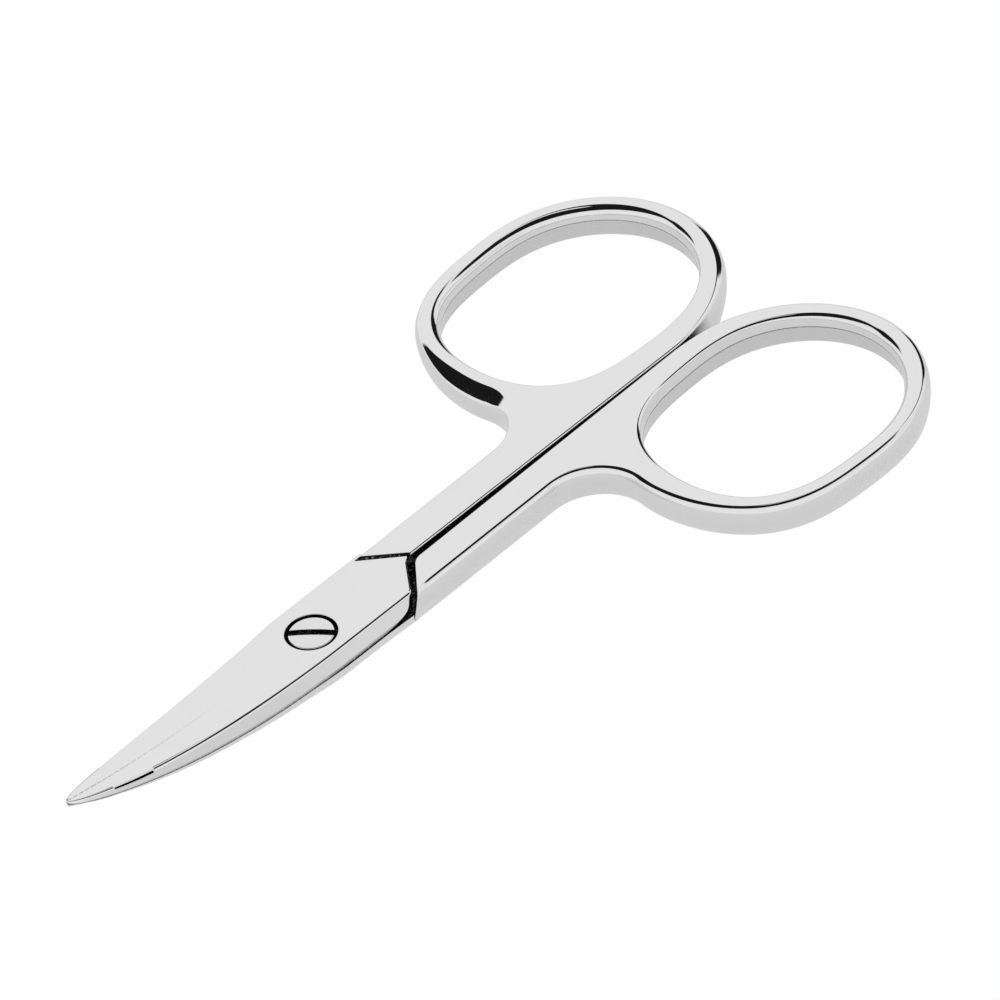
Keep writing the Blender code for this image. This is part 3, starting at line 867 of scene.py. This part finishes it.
def bore(side, spokes, foot, top):
    """The screw's hole from the contact face to the outer one, with the head's seat on the upper half."""
    inward = at_height(-spokes, 0.0)
    # The bore and the head's seat are painted near black as shade round the screw
    if side < 0:
        return [patch(np.stack([foot, top]), inward, 1)]
    seat_inner = at_height(BORE_RADIUS * spokes, PLATE_TOP - SEAT_DEPTH)
    seat_outer = at_height(SEAT_RADIUS * spokes, PLATE_TOP - SEAT_DEPTH)
    rim = at_height(SEAT_RADIUS * spokes, PLATE_TOP - SEAT_EDGE_RADIUS)
    crest = at_height(SEAT_RADIUS * spokes, PLATE_TOP)
    return [
        patch(np.stack([foot, seat_inner]), inward, 1),
        patch(np.stack([seat_inner, seat_outer]), UP, 1),
        patch(np.stack([seat_outer, rim]), inward, 1),
        rounded(rim, crest, top, inward, np.broadcast_to(UP, rim.shape)),
    ]


def blade(side):
    """Blade and plate of one half, in the upper half's place with its cutting side at +y."""
    none = np.zeros(SPINE_COLUMNS + 1)
    top = blade_outline(side, 0, none)
    contact = blade_outline(side, 1, none + 1)
    slope = np.hypot(*(top - contact).T)
    edge_radius = np.minimum(BLADE_EDGE_RADIUS, slope * EDGE_LIMIT_SHARE)
    inside = top - edge_radius[:, None] * plan_normals(top)
    direct = np.unwrap(np.arctan2(inside[:, 1], inside[:, 0]))
    even = direct[0] - math.tau * np.arange(len(direct)) / len(direct)
    spokes = polar((direct + even) / 2)
    t = np.linspace(0, 1, FACE_ROWS)[:, None, None]
    hole_top = SEAT_RADIUS + SEAT_EDGE_RADIUS if side > 0 else BORE_RADIUS
    plan = hole_top * spokes * (1 - t) + inside * t
    face = patch(on_face(plan, side, 1.0), face_normals(plan, side, 1.0) * side)
    crease, facet, bevel = blade_sides(side, edge_radius)
    edge = rounded(face[0][-1], crease, facet[0][0], face[1][-1, :, :3], facet[1][0, :, :3])
    plan = contact * (1 - t) + BORE_RADIUS * spokes * t
    # Painted shade: the contact face is painted near black towards the plate's rear
    ground_and_shade = np.clip((plan[..., 0] - GROUND_SHADE_FROM) / GROUND_SHADE_RUN, 0, 1)
    under = patch(on_face(plan, side, 0.0), face_normals(plan, side, 0.0) * -side, ground_and_shade)
    return [face, edge, facet, bevel, under] + bore(side, spokes, under[0][-1], face[0][0])


def blade_shell(side):
    """The lower half's rows already run the other way up, which turns its faces once, and the
    mirror turns them back."""
    verts, groups = shell(blade(side), 1, False)
    return mirrored(verts, groups, side)


# Screw

def turned(profile, columns):
    """Points of a profile (radius, height) turned round the Z axis, one row for each."""
    angle = span(0, -math.tau, columns)
    return np.stack(
        [
            profile[:, :1] * np.cos(angle),
            profile[:, :1] * np.sin(angle),
            np.broadcast_to(profile[:, 1:], (len(profile), columns)),
        ],
        axis=-1,
    )


def profile_normals(start, end, columns):
    """Normals of the cone between two profile corners."""
    angle = span(0, -math.tau, columns)
    across = unit(np.array([start[1] - end[1], end[0] - start[0]]))
    return np.stack(
        [across[0] * np.cos(angle), across[0] * np.sin(angle), np.full(columns, across[1])], axis=-1
    )


def screw_body():
    """Head below the slot's floor, neck and chamfered tail, turned about the axis."""
    rim = PLATE_TOP + HEAD_RISE
    slot_floor = rim + HEAD_DOME - SLOT_DEPTH
    corners = np.array(
        [
            (0, slot_floor),
            (HEAD_RADIUS, slot_floor),
            (HEAD_RADIUS, rim - HEAD_HEIGHT),
            (NECK_RADIUS_OF_SCREW, rim - HEAD_HEIGHT),
            (NECK_RADIUS_OF_SCREW, TAIL_CHAMFER),
            (NECK_RADIUS_OF_SCREW - TAIL_CHAMFER, 0),
            (0, 0),
        ]
    )
    patches = []
    for start, end in zip(corners, corners[1:]):
        points = turned(np.stack([start, end]), TURNED_COLUMNS)
        normals = profile_normals(start, end, TURNED_COLUMNS)
        # Above the middle the screw stands in the seat and is painted near black as shade
        patches.append(patch(points, normals, 0.0 if end[1] < MIDDLE else 1.0))
    return shell(patches, 1, True)


def dome_height(plan):
    """rim + dome (1 - (r / R)^2)."""
    share = (plan**2).sum(axis=-1) / HEAD_RADIUS**2
    return PLATE_TOP + HEAD_RISE + HEAD_DOME * (1 - share)


def head_half(sign):
    """The raised part of the head on one side of the slot, as a closed D-shaped cap."""
    edge = SLOT_WIDTH / 2
    start = math.asin(edge / HEAD_RADIUS)
    arc = HEAD_RADIUS * polar(span(math.pi - start, start, TURNED_COLUMNS))
    ends = HEAD_RADIUS * polar(np.array([start, math.pi - start]))
    chord = line(ends[0], ends[1], LINE_COLUMNS)
    outline = np.concatenate([arc, chord])
    turn = SLOT_ANGLE + (0 if sign > 0 else math.pi)
    spin = np.array([[math.cos(turn), math.sin(turn)], [-math.sin(turn), math.cos(turn)]])
    outline = outline @ spin
    centre = outline[:TURNED_COLUMNS].mean(axis=0) * HEAD_CENTRE_SHARE
    radius = np.where(np.arange(len(outline)) < TURNED_COLUMNS, HEAD_EDGE_RADIUS, SLOT_EDGE_RADIUS)
    normals = plan_normals(outline)
    corners = [TURNED_COLUMNS, 0]
    normals[corners] = unit(outline[corners])
    inside = outline - radius[:, None] * normals
    t = np.linspace(0, 1, CAP_ROWS)[:, None, None]
    plan = centre * (1 - t) + inside * t
    slope = 2 * HEAD_DOME / HEAD_RADIUS**2
    tops = unit(np.concatenate([plan * slope, np.ones(plan.shape[:-1] + (1,))], axis=-1))
    face = patch(at_height(plan, dome_height(plan)), tops)
    crest = at_height(outline, dome_height(outline))
    wall_top = at_height(outline, dome_height(outline) - radius)
    foot = at_height(outline, PLATE_TOP + HEAD_RISE + HEAD_DOME - SLOT_DEPTH - CAP_OVERLAP)
    sides = at_height(normals, 0.0)
    under = at_height(np.broadcast_to(centre, outline.shape), foot[:, 2])
    # The cap's walls, round its rim and down into the slot, and its underside are painted near black as
    # shade
    patches = [
        face,
        rounded(face[0][-1], crest, wall_top, tops[-1], sides),
        patch(np.stack([wall_top, foot]), sides, 1),
        patch(np.stack([foot, (foot + under) / 2, under]), -UP, 1),
    ]
    return shell(patches, 1, True)


# Materials and light

class Wire:
    """A shader value: arithmetic on it adds Math nodes, and node() adds any other node."""

    def __init__(self, tree, socket):
        self.tree = tree
        self.socket = socket

    @staticmethod
    def node(tree, kind, settings, inputs, output=0):
        """A node of this kind, with its settings and the values or links of its sockets."""
        node = tree.nodes.new(kind)
        for name, value in settings.items():
            setattr(node, name, value)
        for name, value in inputs.items():
            if isinstance(value, Wire):
                tree.links.new(value.socket, node.inputs[name])
            else:
                node.inputs[name].default_value = value
        return Wire(tree, node.outputs[output] if node.outputs else None)

    def math(self, operation, other):
        return Wire.node(self.tree, "ShaderNodeMath", {"operation": operation}, {0: self, 1: other})

    def __add__(self, other):
        return self.math("ADD", other)

    def __sub__(self, other):
        return self.math("SUBTRACT", other)

    def __rsub__(self, other):
        return Wire.node(self.tree, "ShaderNodeMath", {"operation": "SUBTRACT"}, {0: other, 1: self})

    def __mul__(self, other):
        return self.math("MULTIPLY", other)

    __radd__ = __add__
    __rmul__ = __mul__

    def smooth(self, low, high):
        """0 below low and 1 above high, with a smooth step between."""
        settings = {"interpolation_type": "SMOOTHSTEP"}
        inputs = {"Value": self, "From Min": low, "From Max": high}
        return Wire.node(self.tree, "ShaderNodeMapRange", settings, inputs)

    def within(self, limits):
        """1 between the two limits and 0 outside them, with smooth steps."""
        low, high = limits
        rising = self.smooth(low - SCREEN_SOFTNESS, low + SCREEN_SOFTNESS)
        return rising * (1 - self.smooth(high - SCREEN_SOFTNESS, high + SCREEN_SOFTNESS))


# Steel: a level is a grey value, a scale is per metre and a depth is a share
STEEL_LEVEL = 0.86
STEEL_ROUGHNESS = 0.06
SCREW_LEVEL = 0.97 * STEEL_LEVEL
SCREW_ROUGHNESS = 1.5 * STEEL_ROUGHNESS
CLOUD_SCALE = 260.0
CLOUD_DETAIL = 3.0
CLOUD_DEPTH = 0.02
MARK_SCALE = 9000.0
MARK_DETAIL = 2.0
MARK_STRETCH = 0.15
MARK_DEPTH = 0.3
# Painted shade: a near-black colour with lighter specks, on rough steel in the gaps, seat and slot
PAINTED_SHADE_LEVEL = 0.008
SHADE_SPECK_LEVEL = 0.35
SHADE_SPECK_SCALE = 5200.0
SHADE_SPECK_DETAIL = 2.0
SHADE_SPECK_LIMITS = (0.5, 0.75)
RECESS_ROUGHNESS = 0.5

# Sockets of the Mix node that hold its two colours and its mixed colour
FIRST_COLOUR = 6
SECOND_COLOUR = 7
MIXED_COLOUR = 2


def grey(level, alpha=1.0):
    return (level, level, level, alpha)


def steel(name, level, roughness):
    """Polished steel with faint clouds and fine marks, and rough steel with its colour painted near black
    with lighter specks, as shade, where the mesh marks it.
    """
    material = bpy.data.materials.new(name)
    material.use_nodes = True
    tree = material.node_tree
    tree.nodes.clear()

    def noise(scale, detail, vector):
        inputs = {"Vector": vector, "Scale": scale, "Detail": detail}
        return Wire.node(tree, "ShaderNodeTexNoise", {}, inputs)

    def mix(factor, first, second):
        inputs = {"Factor": factor, FIRST_COLOUR: first, SECOND_COLOUR: second}
        return Wire.node(tree, "ShaderNodeMix", {"data_type": "RGBA"}, inputs, MIXED_COLOUR)

    place = Wire.node(tree, "ShaderNodeTexCoord", {}, {}, "Object")
    along = Wire.node(tree, "ShaderNodeMapping", {}, {"Vector": place, "Scale": (MARK_STRETCH, 1.0, 1.0)})
    ground_shade = Wire.node(tree, "ShaderNodeAttribute", {"attribute_name": "ground_shade"}, {}, "Fac")
    cloud = noise(CLOUD_SCALE, CLOUD_DETAIL, place)
    marks = noise(MARK_SCALE, MARK_DETAIL, along)
    specks = noise(SHADE_SPECK_SCALE, SHADE_SPECK_DETAIL, place).smooth(*SHADE_SPECK_LIMITS)
    polished = mix(cloud, grey(level * (1 - CLOUD_DEPTH)), grey(level * (1 + CLOUD_DEPTH)))
    # Near-black painted shade with lighter specks
    ground_and_shade = mix(specks, grey(PAINTED_SHADE_LEVEL), grey(SHADE_SPECK_LEVEL))
    polish = roughness * (1 - MARK_DEPTH / 2 + MARK_DEPTH * marks)
    inputs = {
        "Base Color": mix(ground_shade, polished, ground_and_shade),
        "Roughness": polish + (RECESS_ROUGHNESS - polish) * ground_shade,
        "Metallic": 1.0,
    }
    shader = Wire.node(tree, "ShaderNodeBsdfPrincipled", {}, inputs)
    Wire.node(tree, "ShaderNodeOutputMaterial", {}, {"Surface": shader})
    return material


# Camera: its sensor and lens are in millimetres
CAMERA_AZIMUTH = math.radians(-40.3)
CAMERA_ELEVATION = math.radians(40.25)
CAMERA_ROLL = math.radians(-9.28)
CAMERA_DISTANCE = 1.4355
CAMERA_LENS = 595.343
CAMERA_SENSOR = 36.0
CAMERA_CLIP = (0.01, 20.0)
CAMERA_AIM = (0.02211, -0.00160, 0.00332)

# Light: the unlit part overhead, the skylight in it, the two dark screens and the dimmer band.
# Heights are sines of the elevation. Turns are measured from straight away from the camera, and
# are negative to its right.
BRIGHT_LEVEL = 0.88
DARK_LEVEL = 0.01
DARK_FROM = math.sin(math.radians(47))
DARK_FULL = math.sin(math.radians(49))
DARK_END = math.radians(112)
DARK_SOFTNESS = math.radians(2)
SKYLIGHT_LENGTH = 0.4
SKYLIGHT_HALF_WIDTH = 0.075
SKYLIGHT_SOFTNESS = 0.015
RIGHT_SCREEN_HEIGHTS = (0.0, 0.78)
RIGHT_SCREEN_TURNS = (math.radians(-43), math.radians(-19))
LEFT_SCREEN_HEIGHTS = (0.4, 0.78)
LEFT_SCREEN_TURNS = (math.radians(48), math.radians(77))
SCREEN_SOFTNESS = 0.03
HAZE_DEPTH = 0.22
HAZE_BESIDE = (0.6, 0.9)
HAZE_FROM = (0.2, 0.34)
HAZE_TO = (0.42, 0.55)

FLOOR_LEVEL = 0.9
FLOOR_SIZE = 6.0
FLOOR_DEPTH = 0.05 * MM
GLOSSY_FLOOR_SHARE = 0.5


def add_camera():
    """A camera at the photograph's viewing angle: turned to azimuth and elevation, then rolled."""
    a, e, r = CAMERA_AZIMUTH, CAMERA_ELEVATION, CAMERA_ROLL
    back = np.array([math.sin(a) * math.cos(e), -math.cos(a) * math.cos(e), math.sin(e)])
    level = np.array([math.cos(a), math.sin(a), 0.0])
    upright = np.cross(back, level)
    right = math.cos(r) * level + math.sin(r) * upright
    up = -math.sin(r) * level + math.cos(r) * upright
    place = np.array(CAMERA_AIM) + CAMERA_DISTANCE * back
    data = bpy.data.cameras.new("camera")
    data.lens = CAMERA_LENS
    data.sensor_width = CAMERA_SENSOR
    data.clip_start, data.clip_end = CAMERA_CLIP
    camera = bpy.data.objects.new("camera", data)
    turn = np.eye(4)
    turn[:3, :4] = np.stack([right, up, back, place], axis=-1)
    camera.matrix_world = Matrix(turn.tolist())
    bpy.context.scene.collection.objects.link(camera)
    bpy.context.scene.camera = camera


def add_world():
    """Soft light from all round, with the unlit part of the room above the camera's side.

    A skylight lies in the unlit part. Beyond the object a dark screen stands to the right and
    another to the left, and the light from the right is dimmer in a band.
    """
    world = bpy.data.worlds.new("studio")
    world.use_nodes = True
    bpy.context.scene.world = world
    tree = world.node_tree
    tree.nodes.clear()
    direction = Wire.node(tree, "ShaderNodeTexCoord", {}, {}, "Generated")
    x, y, z = (Wire.node(tree, "ShaderNodeSeparateXYZ", {}, {0: direction}, axis) for axis in range(3))
    front = x * math.sin(CAMERA_AZIMUTH) - y * math.cos(CAMERA_AZIMUTH)
    beside = x * math.cos(CAMERA_AZIMUTH) + y * math.sin(CAMERA_AZIMUTH)
    angle = z.math("ARCTAN2", front)
    overhead = z.smooth(DARK_FROM, DARK_FULL)
    overhead = overhead * (1 - angle.smooth(DARK_END - DARK_SOFTNESS, DARK_END + DARK_SOFTNESS))
    along = x - x.math("MAXIMUM", 0.0).math("MINIMUM", SKYLIGHT_LENGTH)
    distance = (along * along + y * y).math("POWER", 0.5)
    edge = (SKYLIGHT_HALF_WIDTH - SKYLIGHT_SOFTNESS, SKYLIGHT_HALF_WIDTH + SKYLIGHT_SOFTNESS)
    overhead = overhead * distance.smooth(*edge)
    turn = (-1.0 * beside).math("ARCTAN2", -1.0 * front)
    right = z.within(RIGHT_SCREEN_HEIGHTS) * turn.within(RIGHT_SCREEN_TURNS)
    left = z.within(LEFT_SCREEN_HEIGHTS) * turn.within(LEFT_SCREEN_TURNS)
    dark = 1 - (1 - overhead) * (1 - right) * (1 - left)
    haze = beside.smooth(*HAZE_BESIDE) * z.smooth(*HAZE_FROM) * (1 - z.smooth(*HAZE_TO))
    bright = BRIGHT_LEVEL * (1 - HAZE_DEPTH * haze)
    level = bright - (bright - DARK_LEVEL) * dark
    colour = Wire.node(tree, "ShaderNodeCombineColor", {}, {0: level, 1: level, 2: level})
    background = Wire.node(tree, "ShaderNodeBackground", {}, {"Color": colour, "Strength": 1.0})
    Wire.node(tree, "ShaderNodeOutputWorld", {}, {"Surface": background})


def add_floor():
    """A wide pale floor that the camera and reflections see as white, with the object's faint shadow."""
    half = FLOOR_SIZE / 2
    corners = [(-half, -half), (half, -half), (half, half), (-half, half)]
    mesh = bpy.data.meshes.new("floor")
    mesh.from_pydata([(x, y, -FLOOR_DEPTH) for x, y in corners], [], [(0, 1, 2, 3)])
    material = bpy.data.materials.new("floor")
    material.use_nodes = True
    tree = material.node_tree
    tree.nodes.clear()
    rays = ("Is Camera Ray", "Is Glossy Ray", "Is Transmission Ray")
    camera, glossy, clear = (Wire.node(tree, "ShaderNodeLightPath", {}, {}, ray) for ray in rays)
    plain = Wire.node(tree, "ShaderNodeBsdfDiffuse", {}, {"Color": grey(FLOOR_LEVEL)})
    white = Wire.node(tree, "ShaderNodeEmission", {}, {"Color": grey(1.0), "Strength": 1.0})
    seen = camera + (glossy + clear) * GLOSSY_FLOOR_SHARE
    mixed = Wire.node(tree, "ShaderNodeMixShader", {}, {0: seen, 1: plain, 2: white})
    Wire.node(tree, "ShaderNodeOutputMaterial", {}, {"Surface": mixed})
    mesh.materials.append(material)
    floor = bpy.data.objects.new("floor", mesh)
    bpy.context.scene.collection.objects.link(floor)


def main():
    upper = steel("upper_steel", STEEL_LEVEL, STEEL_ROUGHNESS)
    lower = steel("lower_steel", STEEL_LEVEL, STEEL_ROUGHNESS)
    screw = steel("screw_steel_finish", SCREW_LEVEL, SCREW_ROUGHNESS)
    for side, name, material in ((1, "upper", upper), (-1, "lower", lower)):
        body, node, slot_name = name + "_body", name + "_half", name + "_half_steel"
        add_piece(name + "_handle", [handle(side, node)], body, node, material)
        add_piece(name + "_blade", [blade_shell(side)], body, node, material)
    shells = [screw_body(), head_half(1), head_half(-1)]
    add_piece("screw", shells, "lower_body", "joint_screw", screw)
    add_floor()
    add_world()
    add_camera()
    bpy.context.scene.view_settings.view_transform = "Standard"


main()
